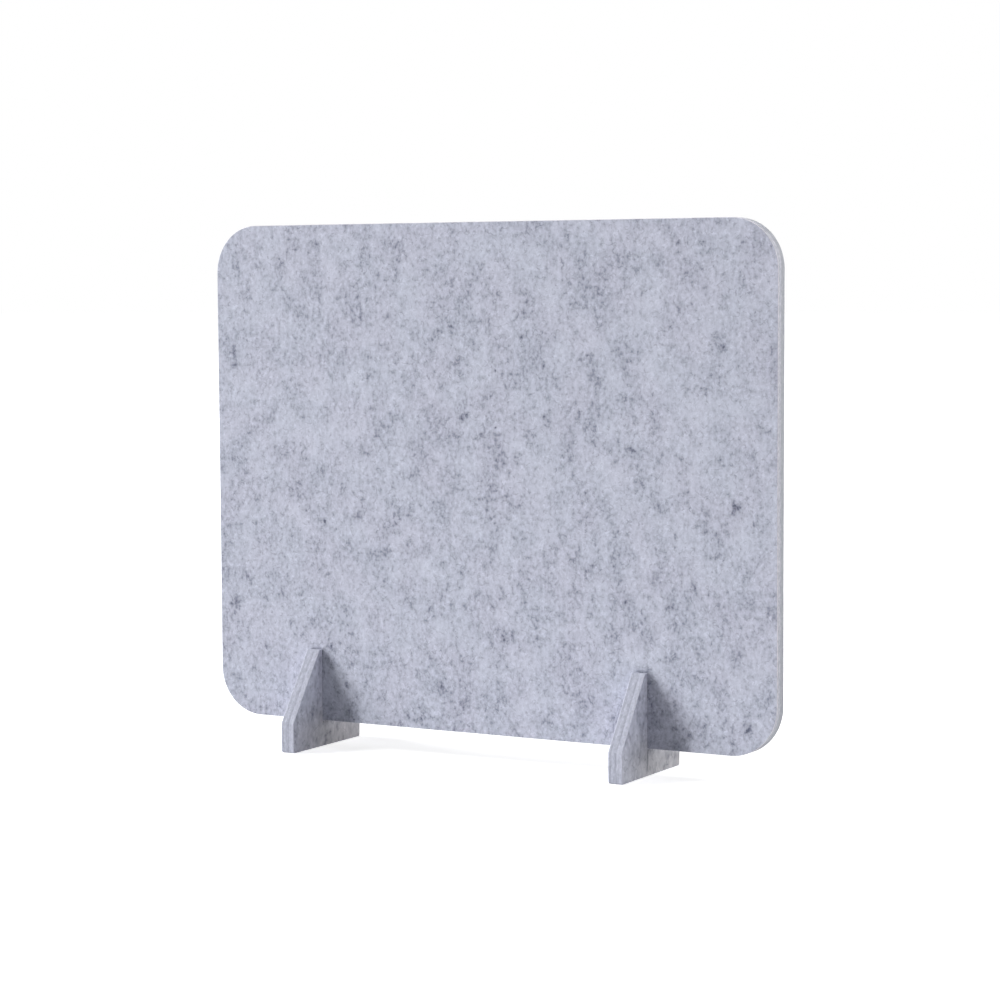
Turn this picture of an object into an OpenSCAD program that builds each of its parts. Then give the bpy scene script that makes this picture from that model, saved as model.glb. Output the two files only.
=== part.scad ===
// Free-standing desk divider cut from pressed acoustic felt board.
// One round-cornered panel stands in two slotted feet, with no hardware.
// The origin is on the table under the middle of the panel: +X runs along its
// width, the front faces -Y and +Z is up.

/* [Panel] */
// Width of the panel
panel_w = 500; // [320:10:1200]
// Height of the panel from its lower edge to its top edge
panel_h = 400; // [250:10:700]
// Thickness of the panel's board
panel_t = 12; // [6:0.5:15]
// Radius of the panel's four corners
panel_corner_r = 38; // [5:1:80]

/* [Feet] */
// Length of a foot, from front to back
foot_l = 98; // [70:1:160]
// Thickness of the feet's board
foot_t = 12; // [6:0.5:15]
// Height that a foot's two prongs reach up the panel
foot_grip = 58; // [40:1:90]
// Height of the web below the slot, which lifts the panel off the table
foot_web = 21; // [10:1:40]
// Height of a foot's upright ends, where its slants begin
foot_end_h = 24; // [10:1:35]
// Width of the flat tip left on each prong
foot_tip = 4; // [2:0.5:8]
// Radius of a foot's lower corners and of its shoulders
foot_corner_r = 2; // [0.5:0.5:5]
// Radius on the outer corner of each prong's tip
foot_tip_r = 1; // [0.25:0.25:1.5]

/* [Places of the feet] */
// Distance from the panel's left end to the middle of the left foot
left_foot_inset = 93.5; // [90:0.5:140]
// Distance from the panel's right end to the middle of the right foot
right_foot_inset = 112.5; // [90:0.5:140]

/* [Fit] */
// Gap between the panel and each wall of a foot's slot
slot_clearance = 0.1; // [0.05:0.05:0.3]

/* [Hidden] */

// Facets of a whole circle, and steps in the arc of one rounded corner
$fn = 96;
corner_steps = 8;

felt_color = [0.73, 0.74, 0.80];
foot_color = [0.70, 0.71, 0.77];

// The slot takes the panel's thickness, and its floor carries the lower edge
slot_w = panel_t + 2 * slot_clearance;
foot_top_w = slot_w + 2 * foot_tip;
foot_h = foot_web + foot_grip;
left_foot_x = left_foot_inset - panel_w / 2;
right_foot_x = panel_w / 2 - right_foot_inset;

// The direction from one point to another
function heading(from, to) = (to - from) / norm(to - from);

// The arc that rounds corner p between its neighbours, or p itself where r is 0
function rounded_corner(before, p, after, r) =
    r == 0 ? [p] :
    let (
        back = heading(p, before),
        on = heading(p, after),
        half_angle = acos(back * on) / 2,
        centre = p + heading([0, 0], back + on) * r / sin(half_angle),
        first = p + back * r / tan(half_angle) - centre,
        turn = (180 - 2 * half_angle) * sign(cross(-back, on))
    )
    [for (i = [0 : corner_steps])
        let (a = turn * i / corner_steps)
        centre + [first.x * cos(a) - first.y * sin(a), first.x * sin(a) + first.y * cos(a)]];

// An outline whose corners are [point, radius] pairs, in order round the shape
function rounded_outline(corners) =
    let (n = len(corners))
    [for (i = [0 : n - 1], p = rounded_corner(
        corners[(i + n - 1) % n][0], corners[i][0], corners[(i + 1) % n][0], corners[i][1])) p];

// A rectangle with round corners, standing on y = 0
module rounded_sheet(w, h, r) {
    translate([0, h / 2]) square([w - 2 * r, h], center = true);
    translate([0, h / 2]) square([w, h - 2 * r], center = true);
    for (side = [-1, 1], z = [r, h - r])
        translate([side * (w / 2 - r), z]) circle(r = r);
}

// Half of a foot's outline from the floor to the slot's corner, for either side
function foot_half(side) = [
    [[side * foot_l / 2, 0], foot_corner_r],
    [[side * foot_l / 2, foot_end_h], foot_corner_r],
    [[side * foot_top_w / 2, foot_h], foot_tip_r],
    [[side * slot_w / 2, foot_h], 0],
    [[side * slot_w / 2, foot_web], 0],
];

// A pair's corners in the opposite order
function reversed(list) = [for (i = [len(list) - 1 : -1 : 0]) list[i]];

// One foot: a fork with two sloping prongs that grip the panel between them
module foot() {
    color(foot_color)
    rotate([90, 0, 90])
    linear_extrude(height = foot_t, center = true)
    polygon(rounded_outline(concat(foot_half(1), reversed(foot_half(-1)))));
}

// The divider's board, whose lower edge rests on the floors of both slots
module panel() {
    color(felt_color)
    translate([0, 0, foot_web])
    rotate([90, 0, 0])
    linear_extrude(height = panel_t, center = true)
    rounded_sheet(panel_w, panel_h, panel_corner_r);
}

// The foot under the left end, as seen from the front
module left_foot() {
    translate([left_foot_x, 0, 0]) foot();
}

// The foot under the right end
module right_foot() {
    translate([right_foot_x, 0, 0]) foot();
}

panel();
left_foot();
right_foot();
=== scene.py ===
"""A free-standing desk divider of pressed acoustic felt.

One round-cornered board stands in two slotted feet that are cut from the same
board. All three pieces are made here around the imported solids, in metres: +X
runs along the board, the front faces -Y and +Z is up.
"""

import math

import bpy
import numpy as np
from mathutils import Matrix, Vector, noise


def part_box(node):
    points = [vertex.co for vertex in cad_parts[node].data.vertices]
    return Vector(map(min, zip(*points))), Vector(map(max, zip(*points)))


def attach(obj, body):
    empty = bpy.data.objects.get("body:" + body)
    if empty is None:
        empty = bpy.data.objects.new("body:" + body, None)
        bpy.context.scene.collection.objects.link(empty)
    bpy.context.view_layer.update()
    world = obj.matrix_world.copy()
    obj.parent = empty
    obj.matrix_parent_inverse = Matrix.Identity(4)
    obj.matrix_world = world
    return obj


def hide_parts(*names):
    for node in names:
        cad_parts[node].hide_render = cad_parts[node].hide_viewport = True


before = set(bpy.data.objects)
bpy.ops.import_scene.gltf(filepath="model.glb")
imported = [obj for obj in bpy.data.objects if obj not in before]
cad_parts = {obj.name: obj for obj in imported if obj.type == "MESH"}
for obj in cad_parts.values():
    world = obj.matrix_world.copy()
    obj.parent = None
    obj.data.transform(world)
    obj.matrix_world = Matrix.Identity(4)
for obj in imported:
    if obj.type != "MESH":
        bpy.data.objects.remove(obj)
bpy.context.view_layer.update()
MM = 0.001

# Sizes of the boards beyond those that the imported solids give
PANEL_CORNER_R = 38 * MM
FOOT_WEB = 21 * MM
FOOT_END_H = 24 * MM
FOOT_TIP = 4 * MM
FOOT_CORNER_R = 2 * MM
FOOT_TIP_R = 1 * MM
# Half of a slot's width, with its clearance
SLOT_HALF = 6.1 * MM

# The arris that the knife leaves, and the shallow lines between the board's plies
ARRIS_R = 0.6 * MM
ARRIS_STEPS = 4
PLY_SHARES = (0.4, 0.78)
PLY_DEPTH = 0.09 * MM
PLY_HALF_WIDTH = 0.3 * MM

# Sizes of the meshes' cells
PANEL_CELL = 3.2 * MM
FOOT_CELL = 1.6 * MM
ARC_STEPS = 3

# The mesh's columns between a slot's corners, and how little counts as beyond a height
SLOT_COLUMNS = 4
JUST_BEYOND = 1.0001
# Where the faces of a piece turn by more than this, its shading has a sharp edge
SHARP_ANGLE = math.radians(50)

# The knife's overcuts at a slot's corners: their section, how far they run down below the
# front and the rear corner, and how far the right foot's would drift by the underside
KERF_HALF_WIDTH = 0.45 * MM
KERF_DEPTH = 1.2 * MM
LEFT_OVERCUTS = (3 * MM, 2 * MM)
RIGHT_OVERCUTS = (17 * MM, 2 * MM)
RIGHT_LEAN = 1.5 * MM

# Felt, whose colours are written as shares of a screen's white
FELT_LIGHT = (0.805, 0.817, 0.874, 1)
FELT_DARK = (0.390, 0.401, 0.467, 1)
SCREEN_GAMMA = 2.25
# How much dark fibre shows where its clouds are at their middle level
FELT_DARK_SHARE = 0.204
# Each layer of its clouds: wavelength, stretch along the height, and strength
FELT_CLOUDS = (
    (1.4 * MM, 1.2, 1.2),
    (2.8 * MM, 1.3, 1.95),
    (5.6 * MM, 1.4, 1.3),
    (11 * MM, 1.35, 1.4),
    (24 * MM, 1.3, 0.75),
    (70 * MM, 1.2, 0.5),
)
# How far off each layer's noise is taken from the last one's
CLOUD_SHIFT = 3.1
# An even grain over them: wavelength and strength
FELT_GRAIN = (1.1 * MM, 0.12)
# How the hue wanders from cool to warm: wavelength, range of the noise, and the two tints
HUE_WAVE = 32 * MM
HUE_RANGE = (0.3, 0.7)
COOL_TINT = (0.998, 1.001, 1.0, 1)
WARM_TINT = (1.003, 0.999, 1.0, 1)
# How much the pressed felt is drawn out along X, Y and Z
PANEL_DRAW = (1.0, 1.0, 1.0)
FOOT_DRAW = (1.0, 1.6, 1.7)
# Knots of dark fibre on the panel's front, and painted shade in the feet's shadows: places along
# it from its middle and up it from its lower edge, radius and strength
PANEL_KNOTS_AND_SHADE = (
    (-116 * MM, 168 * MM, 8 * MM, 0.9),
    (128 * MM, 227 * MM, 6 * MM, 1.0),
    (216 * MM, 186 * MM, 8 * MM, 0.8),
    (227 * MM, 19 * MM, 8 * MM, 0.9),
    (-236 * MM, 93 * MM, 8 * MM, 0.6),
    (-205 * MM, 98 * MM, 10 * MM, 0.6),
    (-154 * MM, 345 * MM, 11 * MM, 0.6),
    (-39 * MM, 312 * MM, 9 * MM, 0.6),
    (92 * MM, 129 * MM, 13 * MM, 0.5),
    (22 * MM, 80 * MM, 12 * MM, 0.5),
    (-128 * MM, 31 * MM, 5 * MM, 1.6),
    (-124 * MM, 48 * MM, 8 * MM, 0.9),
    (-17 * MM, 250 * MM, 9 * MM, 0.6),
    (125 * MM, 279 * MM, 10 * MM, 0.5),
    (61 * MM, 355 * MM, 9 * MM, 0.5),
    (161 * MM, 29 * MM, 9 * MM, 0.6),
    (176 * MM, 13 * MM, 8 * MM, 0.8),
    # These four, beside the feet, are partly dark fibre and partly painted shade deepening their
    # shadows
    (168 * MM, 17 * MM, 8 * MM, 0.7),
    (151 * MM, 20 * MM, 7 * MM, 0.5),
    (-127 * MM, 8 * MM, 7 * MM, 0.7),
    (-138 * MM, 26 * MM, 7 * MM, 0.5),
    (-147 * MM, 162 * MM, 1.8 * MM, 2.6),
    (12 * MM, 285 * MM, 1.6 * MM, 1.6),
    (12 * MM, 241 * MM, 1.5 * MM, 1.8),
)
# Each layer of the felt's threads: wavelength, half width, patch size, patch level, and
# strength, which is below 0 for threads of light fibre
FELT_THREADS = ((7 * MM, 0.03, 3.5 * MM, 0.53, 0.25), (5 * MM, 0.04, 4.5 * MM, 0.48, -0.13))
# How fast a thread ends at its patch's edge, how far off the patches' noise is taken, and how
# far off along Y and Z each layer's noise is taken from the last one's
THREAD_END = 0.08
PATCH_SHIFT = 7
THREAD_SHIFTS = (5, 9)
# Relief of the felt's skin, its roughness where it is light and where it is dark, and its
# specular level and sheen
SKIN_WAVE = 0.8 * MM
SKIN_DEPTH = 0.12 * MM
ROUGH_LIGHT = 0.97
ROUGH_DARK = 0.86
FELT_SPECULAR = 0.2
FELT_SHEEN = 0.06
SHEEN_ROUGHNESS = 0.5
# Painted bounce light that the white table gives back to the feet: its tint, and the heights and
# depths between which it grows
PAINTED_TABLE_BOUNCE = (0.992, 0.970, 0.923, 1)
PAINTED_TABLE_BOUNCE_HEIGHTS = (45 * MM, 8 * MM)
PAINTED_TABLE_BOUNCE_DEPTHS = (-95 * MM, 25 * MM)

# Cut edges: two tones of fibre, the painted shade in an overcut's groove, and each layer of their
# streaks: wavelength across and along the board, and strength
CUT_LIGHT = (0.806, 0.815, 0.872, 1)
CUT_DARK = (0.550, 0.562, 0.613, 1)
KNIFE_LINE_SHADE = (0.60, 0.61, 0.65, 1)
CUT_STREAKS = ((0.9 * MM, 9 * MM, 0.25), (2.4 * MM, 5 * MM, 0.6), (1.2 * MM, 1.8 * MM, 0.6))
# Relief of the streaks, and how much dark fibre shows where they are at their middle level
CUT_DEPTH = 0.1 * MM
CUT_DARK_SHARE = 0.45
# How far the streaks push the ply lines about, as a share of the thickness
PLY_WANDER = 0.03
# The lines between the plies: strength, half width, and the patches in which they show
PLY_DARKNESS = 0.08
PLY_SOFTNESS = 0.11
PLY_PATCH = 14 * MM
PLY_PATCH_RANGE = (0.38, 0.55)
# The pale arrises, partly paler fuzz of fibre and partly painted highlight: width as a share of
# the thickness, and strength
ARRIS_SHARE = 0.09
ARRIS_FUZZ_AND_HIGHLIGHT = 0.38
# The feet's edges have a pale band of painted highlight beside the +X face: its place across the
# edge, half width, strength below and above, and the heights between which it changes
PALE_BAND_SHARE = 0.87
PALE_BAND_HALF_WIDTH = 0.13
PALE_BAND_LIGHT = 0.24
PALE_BAND_LEAST = 0.03
PALE_BAND_HEIGHTS = (38 * MM, 22 * MM)
# The panel's edge is paler and warmer in its front plies, partly fibre and partly painted sheen,
# and grey in its rear ones
FRONT_PLIES_AND_SHEEN = (0.895, 0.888, 0.916, 1)
REAR_PLIES = (0.780, 0.785, 0.800, 1)
FRONT_PLIES_SHARE = 0.48
FRONT_PLIES_SOFTNESS = 0.05

# Slow waves in the pressed felt: wavelength, and how far in from the flat they reach
RELIEF_WAVES = ((17 * MM, 0.16 * MM), (6 * MM, 0.07 * MM))

# The camera: lens and sensor in millimetres, nearest distance and place in metres, and its
# turn, tilt and roll
CAMERA_LENS = 98.55
CAMERA_SENSOR = 36
CAMERA_NEAR = 0.01
CAMERA_PLACE = (1.0649, -1.8437, 0.3715)
CAMERA_TURN = math.radians(29.726)
CAMERA_TILT = math.radians(85.523)
CAMERA_ROLL = math.radians(-0.30)

# Light of the world round the scene, the floor's size and grey, the white that it adds where
# it is seen near the object, and the distances between which that grows to its whole white
WORLD_LIGHT = 0.012
FLOOR_SIZE = 60
FLOOR_GREY = (0.76, 0.76, 0.76, 1)
FLOOR_GLOW = 0.71
FLOOR_GLOW_REACH = (0.5, 1.6)

# The point that most lamps face, and each lamp: name, place, the point that it faces, size
# in metres and power in watts
LAMP_AIM = (0, 0, 0.1)
LAMPS = (
    ("key_left", (-10.38, -1.83, 6.13), LAMP_AIM, (3.5, 3.5), 1162),
    ("key_front", (-7.69, -4.44, 7.5), LAMP_AIM, (3.5, 3.5), 685),
    ("far_reflection", (-5.18, -5.96, -2.82), LAMP_AIM, (0.7, 0.7), 172),
    ("near_reflection", (-2.4, -3.2, -0.7), LAMP_AIM, (0.35, 0.3), 27.8),
    ("right_fill", (3.0, 0.2, 0.8), LAMP_AIM, (1.6, 1.2), 34.8),
    ("rear_fill", (1.8, 2.2, 0.8), LAMP_AIM, (1.6, 1.2), 24),
    ("rim_light", (0.31, 0.08, 0.86), (0.235, 0, 0.4), (0.25, 0.15), 0.090),
)
# How widely the small lamp over the panel's right end shines, so that it misses the left foot
RIM_LIGHT_SPREAD = math.radians(40)


def evenly(low, high, cell):
    """Evenly spaced values from low to high, about a cell apart."""
    return np.linspace(low, high, max(2, round(abs(high - low) / cell) + 1))


def panel_face(width, height, corner_r):
    """(points, faces, dents) of a round-cornered sheet about u = 0, standing on v = 0."""
    turn = np.linspace(0, math.pi / 2, round(corner_r * math.pi / 2 / PANEL_CELL) + 1)
    low = corner_r * (1 - np.cos(turn))
    low_half = width / 2 - corner_r * (1 - np.sin(turn))
    middle = evenly(corner_r, height - corner_r, PANEL_CELL)[1:-1]
    v = np.concatenate([low, middle, height - low[::-1]])
    half = np.concatenate([low_half, np.full(len(middle), width / 2), low_half[::-1]])
    share = evenly(-1, 1, PANEL_CELL * 2 / width)
    points = [(h * s, row) for row, h in zip(v, half) for s in share]
    n = len(share)
    faces = [
        (r * n + c, r * n + c + 1, (r + 1) * n + c + 1, (r + 1) * n + c)
        for r in range(len(v) - 1)
        for c in range(n - 1)
    ]
    return points, faces, {}


def rounded_path(corners):
    """Points along a path of (corner, radius) pairs: its corners rounded, its runs divided."""
    path = [corners[0][0]]
    for k in range(1, len(corners)):
        corner, r = corners[k]
        arc = [corner]
        if r > 0:
            back = (corners[k - 1][0] - corner).normalized()
            on = (corners[k + 1][0] - corner).normalized()
            half_angle = math.acos(back.dot(on)) / 2
            centre = corner + (back + on).normalized() * r / math.sin(half_angle)
            first = corner + back * r / math.tan(half_angle) - centre
            turn = (math.pi - 2 * half_angle) * (1 if back.cross(on) < 0 else -1)
            turns = [turn * s / ARC_STEPS for s in range(ARC_STEPS + 1)]
            arc = [centre + Matrix.Rotation(t, 2) @ first for t in turns]
        count = max(1, round((arc[0] - path[-1]).length / FOOT_CELL))
        last = path[-1]
        path += [last.lerp(arc[0], s / count) for s in range(1, count)]
        path += arc
    return path


def inset_corner(before, corner, after, inset):
    """Where a corner goes when both of its sides move in; the shape is on the path's left."""
    run_in = (corner - before).normalized()
    run_out = (after - corner).normalized()
    out = Vector((run_in.y, -run_in.x)), Vector((run_out.y, -run_out.x))
    return corner - (out[0] + out[1]) * inset / (1 + out[0].dot(out[1]))


def foot_outer_edge(length, height):
    """(v, half width) up the outer edge of a foot's side, inside its arris."""
    top_half = SLOT_HALF + FOOT_TIP
    outline = [
        Vector(p) for p in
        ((0, 0), (length / 2, 0), (length / 2, FOOT_END_H), (top_half, height), (0, height))
    ]
    inner = [inset_corner(*outline[k - 1:k + 2], ARRIS_R) for k in (1, 2, 3)]
    corners = [
        (Vector((0, ARRIS_R)), 0),
        (inner[0], FOOT_CORNER_R - ARRIS_R),
        (Vector((inner[0].x, FOOT_WEB - ARRIS_R)), 0),
        (inner[1], FOOT_CORNER_R - ARRIS_R),
        (inner[2], FOOT_TIP_R - ARRIS_R),
        (Vector((0, height - ARRIS_R)), 0),
    ]
    path = rounded_path(corners)
    start = next(k for k, p in enumerate(path) if p.y > ARRIS_R * JUST_BEYOND) - 1
    end = next(k for k, p in enumerate(path) if p.y > height - ARRIS_R * JUST_BEYOND)
    return [(p.y, p.x) for p in path[start:end + 1]]


def kerf_columns(on_floor, drift):
    """The places, from the middle of a slot, of the three columns that make an overcut."""
    if on_floor:
        return [-SLOT_HALF + KERF_HALF_WIDTH * k for k in (0.5, 1, 2)]
    return [-SLOT_HALF - drift + KERF_HALF_WIDTH * k for k in (-1, 0, 1)]


def foot_face(length, height, reaches, lean):
    """(points, faces, dents) of a foot's side: a web with a prong on each side of the slot.

    reaches are how far the knife overcut the slot's front and rear corners, and lean is
    how far the front cut would drift forward on its way to the foot's underside.
    """
    wall = SLOT_HALF + ARRIS_R
    floor = FOOT_WEB - ARRIS_R
    edge = foot_outer_edge(length, height)
    columns = round((length / 2 - wall) / FOOT_CELL) + 1
    points, faces, dents = [], [], {}
    below = None
    for v, half in edge:
        drift = lean * max(0, floor - v) / floor
        front = [(u, v) for u in np.linspace(-half, -wall - drift, columns)]
        rear = [(u, v) for u in np.linspace(wall, half, columns)]
        middle = []
        if v < floor * JUST_BEYOND:
            on_floor = v > floor - FOOT_CELL / 2
            near = kerf_columns(on_floor, drift)
            far = [-u for u in reversed(kerf_columns(on_floor, 0))]
            between = list(np.linspace(near[-1], far[0], SLOT_COLUMNS + 2)[1:-1])
            middle = [(u, v) for u in near + between + far]
        first = len(points)
        points += front + middle + rear
        row = list(range(first, len(points)))
        if middle:
            for reach, column in zip(reaches, (columns + 1, len(row) - columns - 2)):
                depth = KERF_DEPTH * min(1, max(0, (v - floor + reach) / FOOT_CELL))
                if depth and not on_floor:
                    dents[row[column]] = depth
        if below:
            if middle:
                strips = [(below, row)]
            else:
                strips = [(below[:columns], row[:columns]), (below[-columns:], row[-columns:])]
            for low, high in strips:
                faces += [
                    (low[c], low[c + 1], high[c + 1], high[c]) for c in range(len(low) - 1)
                ]
        below = row
    return points, faces, dents


def outline_loop(faces):
    """The points on the outside of a flat mesh, in order with the mesh on the left."""
    sides = {side for face in faces for side in zip(face, face[1:] + face[:1])}
    rim = {a: b for a, b in sides if (b, a) not in sides}
    loop = [min(rim)]
    while rim[loop[-1]] != loop[0]:
        loop.append(rim[loop[-1]])
    return loop


def outward(points, loop):
    """How each point of the loop moves for an offset of one."""
    places = np.array([points[i] for i in loop])
    run = np.roll(places, -1, axis=0) - places
    run /= np.linalg.norm(run, axis=1)[:, None]
    out = np.stack([run[:, 1], -run[:, 0]], 1)
    before = np.roll(out, 1, axis=0)
    return (before + out) / (1 + (before * out).sum(1))[:, None]


def edge_rings(thickness):
    """(depth, offset) of each ring from one face's outline to the other's."""
    turn = np.linspace(0, math.pi / 2, ARRIS_STEPS + 1)
    arris = [(ARRIS_R * (1 - math.cos(t)), ARRIS_R * math.sin(t)) for t in turn]
    plies = [
        (share * thickness + PLY_HALF_WIDTH * side, ARRIS_R - PLY_DEPTH * (side == 0))
        for share in PLY_SHARES
        for side in (-1, 0, 1)
    ]
    return arris + plies + [(thickness - depth, offset) for depth, offset in reversed(arris)]


def board(name, face, thickness, place, materials):
    """A piece cut from board: two pressed faces with a knife-cut edge between them.

    place(u, v, depth) gives the point of the row frame at (u, v) of the face, that far in.
    The materials are those of the pressed faces, the cut edge, and the dents' sides in painted
    shade.
    """
    points, faces, dents = face
    loop = outline_loop(faces)
    move = outward(points, loop)
    rings = edge_rings(thickness)
    front = [place(u, v, dents.get(i, 0)) for i, (u, v) in enumerate(points)]
    rear = [place(u, v, thickness - dents.get(i, 0)) for i, (u, v) in enumerate(points)]
    vertices = front + rear
    numbers = [loop]
    for depth, offset in rings[1:-1]:
        numbers.append(list(range(len(vertices), len(vertices) + len(loop))))
        for i, (du, dv) in zip(loop, move):
            u, v = points[i]
            vertices.append(place(u + du * offset, v + dv * offset, depth))
    numbers.append([len(front) + i for i in loop])
    pressed = list(faces) + [tuple(len(front) + i for i in reversed(f)) for f in faces]
    bands = []
    for near, far in zip(numbers, numbers[1:]):
        after = zip(near, far, far[1:] + far[:1], near[1:] + near[:1])
        bands += list(after)
    mesh = bpy.data.meshes.new(name)
    mesh.from_pydata(vertices, [], pressed + bands)
    for material in materials:
        mesh.materials.append(material)
    # The bands next to the pressed faces look pressed too, and the others are the cut edge
    kind = np.zeros(len(mesh.polygons), np.int32)
    kind[len(pressed) + len(loop):len(mesh.polygons) - len(loop)] = 1
    # Faces at the knife's overcuts take the third material, painted shade in the groove
    for k, corners in enumerate(faces):
        if not dents.keys().isdisjoint(corners):
            kind[[k, len(faces) + k]] = 2
    mesh.polygons.foreach_set("material_index", kind)
    mesh.shade_smooth()
    mesh.set_sharp_from_angle(angle=SHARP_ANGLE)
    mesh.update()
    piece = bpy.data.objects.new(name, mesh)
    bpy.context.scene.collection.objects.link(piece)
    press(mesh)
    shade_to_arris(mesh, len(pressed), numbers[0] + numbers[-1])
    return piece


def press(mesh):
    """Gives a mesh the slow waves of pressed felt, inside its flat faces."""
    places = []
    for vertex in mesh.vertices:
        waves = [(noise.noise(vertex.co / wave), size) for wave, size in RELIEF_WAVES]
        depth = sum(size * (0.5 + 0.5 * level) for level, size in waves)
        places.append(vertex.co - vertex.normal * depth)
    for vertex, place in zip(mesh.vertices, places):
        vertex.co = place
    mesh.update()


def shade_to_arris(mesh, pressed_count, outline):
    """Lets the outline of each pressed face look where that face does, so its shade stays even.

    The pressed faces come first in the mesh. All other points keep their own directions.
    """
    looks = np.zeros((len(mesh.vertices), 3))
    for polygon in mesh.polygons[:pressed_count]:
        for corner in polygon.vertices:
            looks[corner] += polygon.normal
    directions = np.zeros((len(mesh.vertices), 3))
    directions[outline] = looks[outline] / np.linalg.norm(looks[outline], axis=1)[:, None]
    mesh.normals_split_custom_set_from_vertices(directions)


def make_panel(materials):
    """The board that divides the desk."""
    low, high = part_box("panel")
    size = high - low
    face = panel_face(size.x - 2 * ARRIS_R, size.z - 2 * ARRIS_R, PANEL_CORNER_R - ARRIS_R)
    middle = (low.x + high.x) / 2

    def place(u, v, depth):
        return middle + u, low.y + depth, low.z + ARRIS_R + v

    piece = board("felt_panel", face, size.y, place, materials)
    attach(piece, "panel")
    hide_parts("panel")


def make_foot(node, materials, reaches, lean):
    """One slotted foot, cut from the same board."""
    low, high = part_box(node)
    size = high - low
    face = foot_face(size.y, size.z, reaches, lean)

    def place(u, v, depth):
        return high.x - depth, u, low.z + v

    piece = board("felt_" + node, face, size.x, place, materials)
    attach(piece, node)
    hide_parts(node)


def add_node(tree, kind, inputs=None, **settings):
    """A new node. An input's value is a number, a colour or another node's output."""
    made = tree.nodes.new(kind)
    for name, value in settings.items():
        setattr(made, name, value)
    for name, value in (inputs or {}).items():
        if isinstance(value, bpy.types.NodeSocket):
            tree.links.new(value, made.inputs[name])
        else:
            made.inputs[name].default_value = value
    return made


def calculate(tree, operation, *values, clamp=False):
    """The result of a Math node."""
    made = add_node(
        tree, "ShaderNodeMath", dict(enumerate(values)), operation=operation, use_clamp=clamp
    )
    return made.outputs[0]


def between(tree, value, low, high):
    """How far a value has come from low to high, from 0 to 1."""
    return add_node(
        tree,
        "ShaderNodeMapRange",
        {"Value": value, "From Min": low, "From Max": high},
        interpolation_type="SMOOTHSTEP",
    ).outputs[0]


def apart(tree, value, middle):
    """How far a value is from a middle, to either side."""
    return calculate(tree, "ABSOLUTE", calculate(tree, "SUBTRACT", value, middle))


def add_layer(tree, amount, layer, weight):
    """An amount with a layer of noise added, of which the middle level adds nothing."""
    off_middle = calculate(tree, "SUBTRACT", layer, 0.5)
    return calculate(tree, "MULTIPLY_ADD", off_middle, weight, amount)


def noise_layer(tree, place, waves, shift, detail=0.0):
    """Noise about 0.5 that has those wavelengths along X, Y and Z."""
    scale = [1 / wave for wave in waves]
    where = add_node(
        tree, "ShaderNodeMapping", {"Vector": place, "Scale": scale, "Location": shift}
    ).outputs[0]
    return add_node(
        tree, "ShaderNodeTexNoise", {"Vector": where, "Scale": 1.0, "Detail": detail}
    ).outputs[0]


def cloud(tree, place, wave, draw, shift, detail=0.0):
    """Noise about 0.5 of that wavelength, drawn out along X, Y and Z by draw."""
    return noise_layer(tree, place, [wave * stretch for stretch in draw], shift, detail)


def threads(tree, place, wave, half_width, patch, level, draw, shift):
    """Thin winding lines, from 0 to 1, that come and go in patches."""
    course = cloud(tree, place, wave, draw, shift, detail=1.0)
    off_line = apart(tree, course, 0.5)
    line = calculate(tree, "MULTIPLY_ADD", off_line, -1 / half_width, 1.0, clamp=True)
    shown = cloud(tree, place, patch, draw, [s + PATCH_SHIFT for s in shift])
    shown = calculate(tree, "SUBTRACT", shown, level)
    shown = calculate(tree, "DIVIDE", shown, THREAD_END, clamp=True)
    return calculate(tree, "MULTIPLY", line, shown)


def dark_fibres_and_shade(tree, place, draw, seed, knots_and_shade):
    """How much dark fibre and painted shade show at each point of a pressed face, from 0 for none.
    """
    amount = 0.0
    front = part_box("panel")[0]
    # Dark spots of fibre, and beside the feet painted shade in their shadows
    for x, z, radius, weight in knots_and_shade:
        spot = add_node(
            tree,
            "ShaderNodeVectorMath",
            {0: place, 1: (x, front.y, front.z + z)},
            operation="DISTANCE",
        ).outputs["Value"]
        amount = calculate(tree, "MULTIPLY_ADD", between(tree, spot, radius, 0.0), weight, amount)
    for k, (wave, stretch, weight) in enumerate(FELT_CLOUDS):
        along = (draw[0], draw[1], draw[2] * stretch)
        shift = (seed + CLOUD_SHIFT * k, 2 * seed + k, seed + k)
        amount = add_layer(tree, amount, cloud(tree, place, wave, along, shift), weight)
    dark = calculate(tree, "MULTIPLY", calculate(tree, "EXPONENT", amount), FELT_DARK_SHARE)
    for k, (wave, half_width, patch, level, weight) in enumerate(FELT_THREADS):
        shift = (seed, THREAD_SHIFTS[0] * k, seed + THREAD_SHIFTS[1] * k)
        line = threads(tree, place, wave, half_width, patch, level, draw, shift)
        dark = calculate(tree, "MULTIPLY_ADD", line, weight, dark)
    wave, weight = FELT_GRAIN
    grain = cloud(tree, place, wave, draw, (seed, seed, 2 * seed))
    dark = add_layer(tree, dark, grain, weight)
    return calculate(tree, "MAXIMUM", dark, 0.0)


def mix_colours(tree, share, first, second, blend="MIX"):
    """A mix of two colours."""
    mix = add_node(
        tree,
        "ShaderNodeMix",
        {"Factor": share, "A": first, "B": second},
        data_type="RGBA",
        blend_type=blend,
    )
    return mix.outputs["Result"]


def new_felt(name):
    """(material, tree) of a felt, with the parts of its finish that are the same all over."""
    material = bpy.data.materials.new(name)
    material.use_nodes = True
    shader = material.node_tree.nodes["Principled BSDF"]
    shader.inputs["Specular IOR Level"].default_value = FELT_SPECULAR
    shader.inputs["Sheen Weight"].default_value = FELT_SHEEN
    shader.inputs["Sheen Roughness"].default_value = SHEEN_ROUGHNESS
    return material, material.node_tree


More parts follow.
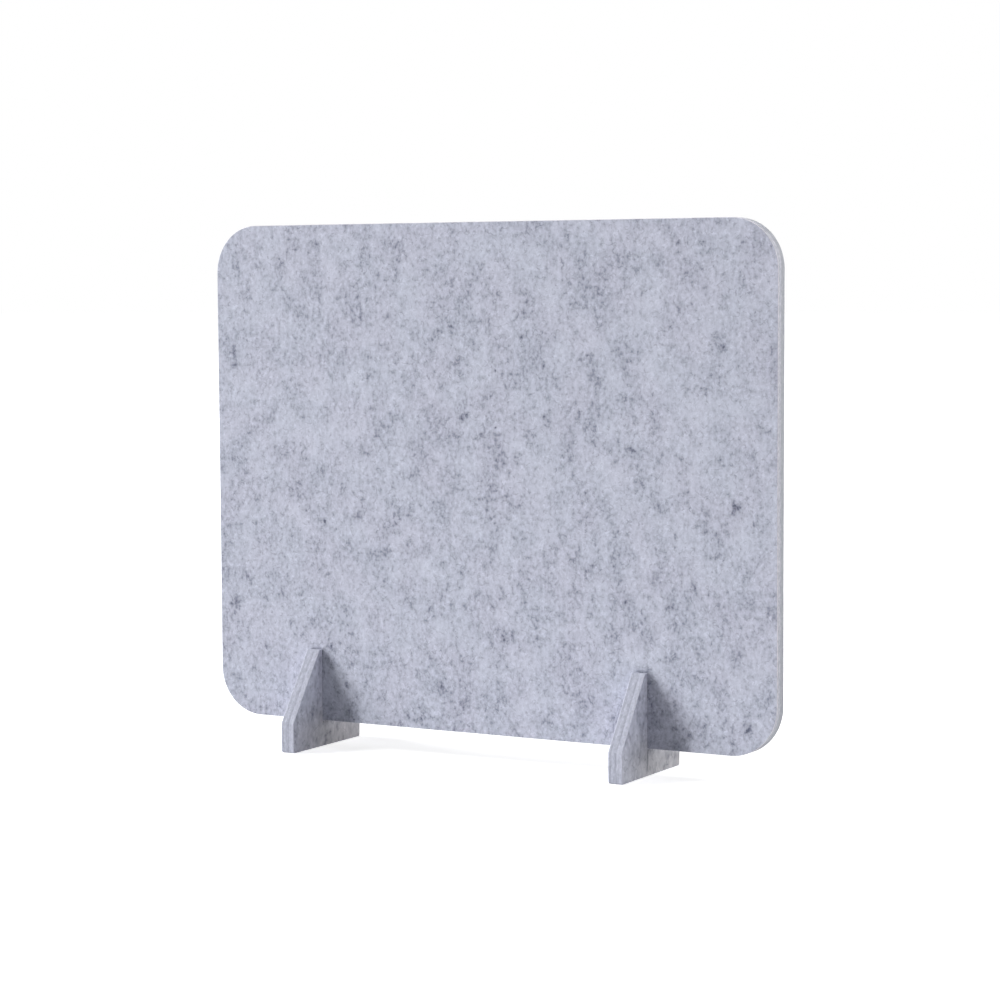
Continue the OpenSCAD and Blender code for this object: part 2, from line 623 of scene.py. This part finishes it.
def finish_felt(tree, screen_colour, dark, relief, depth):
    """Gives a felt its colour, its roughness by how dark it is, and its relief."""
    shader = tree.nodes["Principled BSDF"]
    colour = add_node(tree, "ShaderNodeGamma", {"Color": screen_colour, "Gamma": SCREEN_GAMMA})
    tree.links.new(colour.outputs[0], shader.inputs["Base Color"])
    rough = calculate(tree, "MULTIPLY_ADD", dark, ROUGH_DARK - ROUGH_LIGHT, ROUGH_LIGHT)
    tree.links.new(rough, shader.inputs["Roughness"])
    bump = add_node(tree, "ShaderNodeBump", {"Height": relief, "Distance": depth, "Strength": 1.0})
    tree.links.new(bump.outputs[0], shader.inputs["Normal"])


def felt_material(name, draw, seed, knots_and_shade=(), with_table_bounce=False):
    """A pressed felt face: light fibres with darker ones mixed in, more or less evenly."""
    material, tree = new_felt(name)
    place = add_node(tree, "ShaderNodeTexCoord").outputs["Object"]
    dark = dark_fibres_and_shade(tree, place, draw, seed, knots_and_shade)
    colour = mix_colours(tree, dark, FELT_LIGHT, FELT_DARK)
    hue = between(tree, cloud(tree, place, HUE_WAVE, draw, (3 * seed, seed, seed)), *HUE_RANGE)
    tint = mix_colours(tree, hue, COOL_TINT, WARM_TINT)
    colour = mix_colours(tree, 1.0, colour, tint, "MULTIPLY")
    # Painted warm bounce light from the white table, low on the feet and toward their rear
    if with_table_bounce:
        parts = add_node(tree, "ShaderNodeSeparateXYZ", {0: place}).outputs
        low = between(tree, parts["Z"], *PAINTED_TABLE_BOUNCE_HEIGHTS)
        rear = between(tree, parts["Y"], *PAINTED_TABLE_BOUNCE_DEPTHS)
        near = calculate(tree, "MULTIPLY", low, rear)
        colour = mix_colours(tree, near, colour, PAINTED_TABLE_BOUNCE, "MULTIPLY")
    skin = cloud(tree, place, SKIN_WAVE, draw, (seed, seed, seed))
    relief = calculate(tree, "SUBTRACT", skin, dark)
    finish_felt(tree, colour, dark, relief, SKIN_DEPTH)
    return material


def cut_streaks(tree, place, across, seed):
    """The streaks of a cut edge: above 0 where they are darker, below 0 where lighter."""
    amount = 0.0
    for k, (short, long, weight) in enumerate(CUT_STREAKS):
        waves = [long, long, long]
        waves[across] = short
        streak = noise_layer(tree, place, waves, (seed + k, seed - 2 * k, seed), detail=1.0)
        amount = add_layer(tree, amount, streak, weight)
    return amount


def add_ply_lines(tree, place, depth, across, seed, dark):
    """How dark a cut edge is with the lines between its plies, which show in patches."""
    shares = PLY_SHARES if across == 1 else [1 - share for share in PLY_SHARES]
    for k, share in enumerate(shares):
        line = between(tree, apart(tree, depth, share), PLY_SOFTNESS, 0.0)
        patch = cloud(tree, place, PLY_PATCH, (1, 1, 1), (seed, k, 3 * k))
        shown = between(tree, patch, *PLY_PATCH_RANGE)
        line = calculate(tree, "MULTIPLY", line, shown)
        dark = calculate(tree, "MULTIPLY_ADD", line, PLY_DARKNESS, dark)
    return dark


def painted_highlight_band(tree, place, depth):
    """How much paler an edge is with painted highlight beside the face at depth 1, from 0."""
    band = between(tree, apart(tree, depth, PALE_BAND_SHARE), PALE_BAND_HALF_WIDTH, 0.0)
    height = add_node(tree, "ShaderNodeSeparateXYZ", {0: place}).outputs["Z"]
    low = between(tree, height, *PALE_BAND_HEIGHTS)
    light = calculate(tree, "MULTIPLY_ADD", low, PALE_BAND_LIGHT - PALE_BAND_LEAST, PALE_BAND_LEAST)
    return calculate(tree, "MULTIPLY", band, light)


def cut_material(name, across, seed, light, dark_tone, rear=None, banded=False):
    """A knife-cut edge, streaked along the board, with dark lines between its plies.

    across is 0 or 1 where the board's thickness is along X or Y. light is the light tone of the
    fibre, with painted sheen in it on the panel, and rear is that of the plies behind where it
    differs. banded adds the pale band of painted highlight.
    """
    material, tree = new_felt(name)
    places = add_node(tree, "ShaderNodeTexCoord").outputs
    place = places["Object"]
    streaks = cut_streaks(tree, place, across, seed)
    depth = add_node(tree, "ShaderNodeSeparateXYZ", {0: places["Generated"]}).outputs[across]
    depth = calculate(tree, "ADD", depth, calculate(tree, "MULTIPLY", streaks, PLY_WANDER))
    dark = calculate(tree, "ADD", streaks, CUT_DARK_SHARE)
    dark = add_ply_lines(tree, place, depth, across, seed, dark)
    off_middle = apart(tree, depth, 0.5)
    # The pale arrises: partly paler fuzz of fibre and partly painted highlight
    arris = between(tree, off_middle, 0.5 - ARRIS_SHARE, 0.5 - ARRIS_SHARE / 3)
    dark = calculate(tree, "MULTIPLY_ADD", arris, -ARRIS_FUZZ_AND_HIGHLIGHT, dark)
    # The pale band of painted highlight beside the +X face
    if banded:
        dark = calculate(tree, "SUBTRACT", dark, painted_highlight_band(tree, place, depth))
    dark = calculate(tree, "ADD", dark, 0.0, clamp=True)
    colour = mix_colours(tree, dark, light, dark_tone)
    if rear:
        last_front = FRONT_PLIES_SHARE - FRONT_PLIES_SOFTNESS
        first_rear = FRONT_PLIES_SHARE + FRONT_PLIES_SOFTNESS
        behind = between(tree, depth, last_front, first_rear)
        rear_colour = mix_colours(tree, dark, rear, dark_tone)
        colour = mix_colours(tree, behind, colour, rear_colour)
    finish_felt(tree, colour, dark, calculate(tree, "SUBTRACT", 1.0, dark), CUT_DEPTH)
    return material


def make_camera():
    """The photograph's view: a long lens from the front right."""
    data = bpy.data.cameras.new("camera")
    data.lens = CAMERA_LENS
    data.sensor_width = CAMERA_SENSOR
    data.clip_start = CAMERA_NEAR
    camera = bpy.data.objects.new("camera", data)
    bpy.context.scene.collection.objects.link(camera)
    camera.matrix_world = (
        Matrix.Translation(CAMERA_PLACE)
        @ Matrix.Rotation(CAMERA_TURN, 4, "Z")
        @ Matrix.Rotation(CAMERA_TILT, 4, "X")
        @ Matrix.Rotation(CAMERA_ROLL, 4, "Z")
    )
    bpy.context.scene.camera = camera


def make_lamp(name, place, target, size, power):
    """A soft lamp at place that faces target."""
    data = bpy.data.lights.new(name, "AREA")
    data.shape = "RECTANGLE"
    data.size, data.size_y = size
    data.energy = power
    lamp = bpy.data.objects.new(name, data)
    bpy.context.scene.collection.objects.link(lamp)
    lamp.location = place
    lamp.rotation_euler = (Vector(target) - Vector(place)).to_track_quat("-Z", "Y").to_euler()
    return lamp


def sees_background(tree):
    """1 for the rays that see the white background: the camera's, and those of gloss and glass."""
    rays = add_node(tree, "ShaderNodeLightPath").outputs
    seen = calculate(tree, "MAXIMUM", rays["Is Camera Ray"], rays["Is Glossy Ray"])
    return calculate(tree, "MAXIMUM", seen, rays["Is Transmission Ray"])


def make_floor():
    """A plain white floor that shows as white and keeps the object's shadow."""
    material = bpy.data.materials.new("white_floor")
    material.use_nodes = True
    tree = material.node_tree
    shader = tree.nodes["Principled BSDF"]
    shader.inputs["Base Color"].default_value = FLOOR_GREY
    shader.inputs["Roughness"].default_value = 1.0
    shader.inputs["Specular IOR Level"].default_value = 0.0
    place = add_node(tree, "ShaderNodeTexCoord").outputs["Object"]
    away = add_node(tree, "ShaderNodeVectorMath", {0: place}, operation="LENGTH").outputs["Value"]
    far = between(tree, away, *FLOOR_GLOW_REACH)
    strength = calculate(tree, "MULTIPLY_ADD", far, 1 - FLOOR_GLOW, FLOOR_GLOW)
    strength = calculate(tree, "MULTIPLY", sees_background(tree), strength)
    glow = add_node(tree, "ShaderNodeEmission", {"Color": (1, 1, 1, 1), "Strength": strength})
    both = add_node(tree, "ShaderNodeAddShader", {0: shader.outputs[0], 1: glow.outputs[0]})
    tree.links.new(both.outputs[0], tree.nodes["Material Output"].inputs["Surface"])
    bpy.ops.mesh.primitive_plane_add(size=FLOOR_SIZE)
    floor = bpy.context.object
    floor.name = "floor"
    floor.data.materials.append(material)
    floor.visible_shadow = False


def make_world():
    """Even pale light from all round, which is seen as white."""
    world = bpy.data.worlds.new("studio")
    bpy.context.scene.world = world
    world.use_nodes = True
    tree = world.node_tree
    back = tree.nodes["Background"]
    back.inputs["Color"].default_value = (1, 1, 1, 1)
    seen = sees_background(tree)
    strength = calculate(tree, "MULTIPLY_ADD", seen, 1 - WORLD_LIGHT, WORLD_LIGHT)
    tree.links.new(strength, back.inputs["Strength"])


def make_lights():
    """Soft keys high at the left, their reflections in a polished table, and fills at the right."""
    lamps = {lamp[0]: make_lamp(*lamp) for lamp in LAMPS}
    lamps["rim_light"].data.spread = RIM_LIGHT_SPREAD


def main():
    bpy.context.scene.view_settings.view_transform = "Standard"
    make_camera()
    make_floor()
    make_world()
    make_lights()
    panel_felt = felt_material("panel_felt", PANEL_DRAW, seed=2.0, knots_and_shade=PANEL_KNOTS_AND_SHADE)
    panel_cut = cut_material(
        "panel_cut", across=1, seed=4.0, light=FRONT_PLIES_AND_SHEEN, dark_tone=CUT_DARK, rear=REAR_PLIES
    )
    foot_felt = felt_material("foot_felt", FOOT_DRAW, seed=5.0, with_table_bounce=True)
    foot_cut = cut_material(
        "foot_cut", across=0, seed=9.0, light=CUT_LIGHT, dark_tone=CUT_DARK, banded=True
    )
    # Painted shade for the faces in the knife's overcuts
    knife_line_shade = cut_material(
        "knife_line_shade", across=0, seed=13.0, light=KNIFE_LINE_SHADE, dark_tone=KNIFE_LINE_SHADE
    )
    foot_materials = [foot_felt, foot_cut, knife_line_shade]
    make_panel([panel_felt, panel_cut])
    make_foot("left_foot", foot_materials, LEFT_OVERCUTS, lean=0)
    make_foot("right_foot", foot_materials, RIGHT_OVERCUTS, RIGHT_LEAN)


main()
